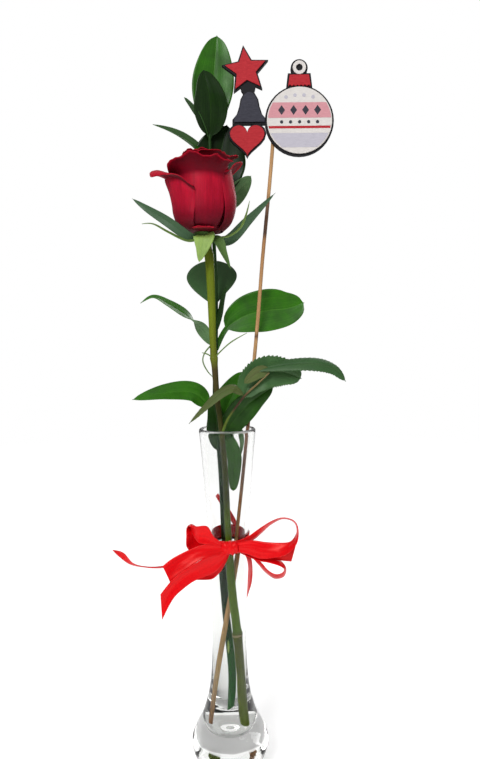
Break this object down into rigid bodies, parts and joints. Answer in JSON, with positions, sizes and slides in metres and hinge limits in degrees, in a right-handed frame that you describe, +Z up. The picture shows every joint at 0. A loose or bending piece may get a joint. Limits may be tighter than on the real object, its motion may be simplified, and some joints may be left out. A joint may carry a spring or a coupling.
{
  "type": "rose in a bud vase",
  "caption": "Clear glass bud vase with a red rose, a spray of glossy leaves, a satin bow round its neck and a wooden pick with plain painted shapes.",
  "frame": {"origin": "centre of the vase's foot, on the surface it stands on", "axes": "+Z up along the vase's axis, -Y towards the front of the arrangement, +X to its right as seen from the front"},
  "size_m": [0.1539, 0.0748, 0.5121],
  "materials": {
    "clear_glass": "clear polished glass with a heavy solid foot",
    "water": "clear still water",
    "crimson_petal": "velvety crimson petals, darker towards their edges",
    "rose_green": "olive green stem and leaf with brown stalk, pale green sepals",
    "ruscus_green": "glossy mid to dark green leaves with parallel veins",
    "red_satin": "bright red satin",
    "bamboo": "pale bamboo with fine lengthwise grain",
    "black_board": "black laser-cut board",
    "red_paint": "matt red paint on thin wood, with fine grain",
    "charcoal_paint": "matt charcoal paint on thin wood",
    "white_paint": "matt off-white paint on thin wood, with grain lines"
  },
  "bodies": {
    "root": {"vase": "clear_glass", "water": "water", "rose_petals": "crimson_petal", "rose_stem": "rose_green", "ruscus_spray": "ruscus_green", "ribbon": "red_satin", "pick_skewer": "bamboo", "pick_board": "black_board", "pick_bauble": "white_paint", "pick_cap": "red_paint", "pick_ring": "white_paint", "pick_star": "red_paint", "pick_bell": "charcoal_paint", "pick_heart": "red_paint"}
  },
  "joints": []
}
